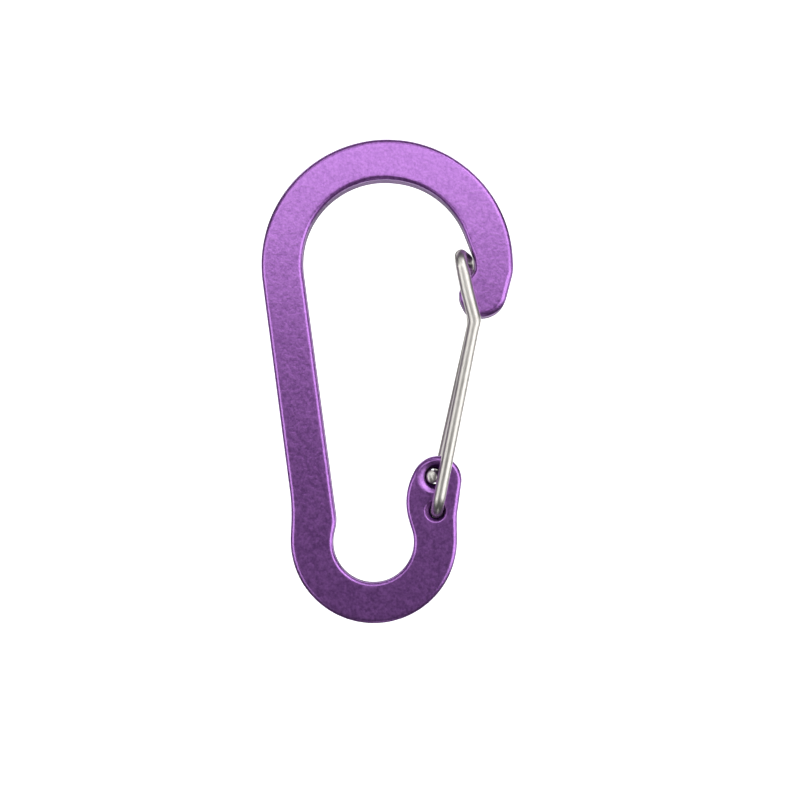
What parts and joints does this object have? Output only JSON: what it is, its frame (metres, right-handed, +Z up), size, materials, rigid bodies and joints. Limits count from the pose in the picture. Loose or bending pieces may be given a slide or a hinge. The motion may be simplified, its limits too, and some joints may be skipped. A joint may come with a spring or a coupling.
{
  "type": "wire gate carabiner",
  "caption": "Small flat pear-shaped carabiner: an anodised aluminium plate hook closed by a springy bent-wire gate that pivots at its narrow end.",
  "frame": {"origin": "innermost point of the wide basket, where the carabiner hangs, halfway through the plate", "axes": "+Z up along the carabiner's length, the wide basket at the top; +Y through the plate, the front face towards -Y; +X towards the gate"},
  "size_m": [0.0261, 0.007, 0.05],
  "materials": {
    "anodised_plate": "satin",
    "gate_wire": "satin"
  },
  "bodies": {
    "hook": {"plate_body": "anodised_plate"},
    "gate_front_leg": {"gate_wire_front": "gate_wire"},
    "gate_rear_leg": {"gate_wire_rear": "gate_wire"}
  },
  "joints": [
    {"name": "gate_open", "type": "hinge", "parent": "hook", "child": "gate_front_leg", "pos_m": [0.00533, 0, -0.03428], "axis": [0, -1, 0], "range_deg": [0, 26], "stiffness_Nm_per_rad": 0.1, "springref_deg": -1.15},
    {"name": "crown_twist", "type": "hinge", "parent": "gate_front_leg", "child": "gate_rear_leg", "pos_m": [0.00822, 0, -0.00801], "axis": [0, -1, 0], "range_deg": [0, 5]}
  ],
  "couplings": [
    {"joint": "crown_twist", "follows": "gate_open", "ratio": 0.162}
  ]
}
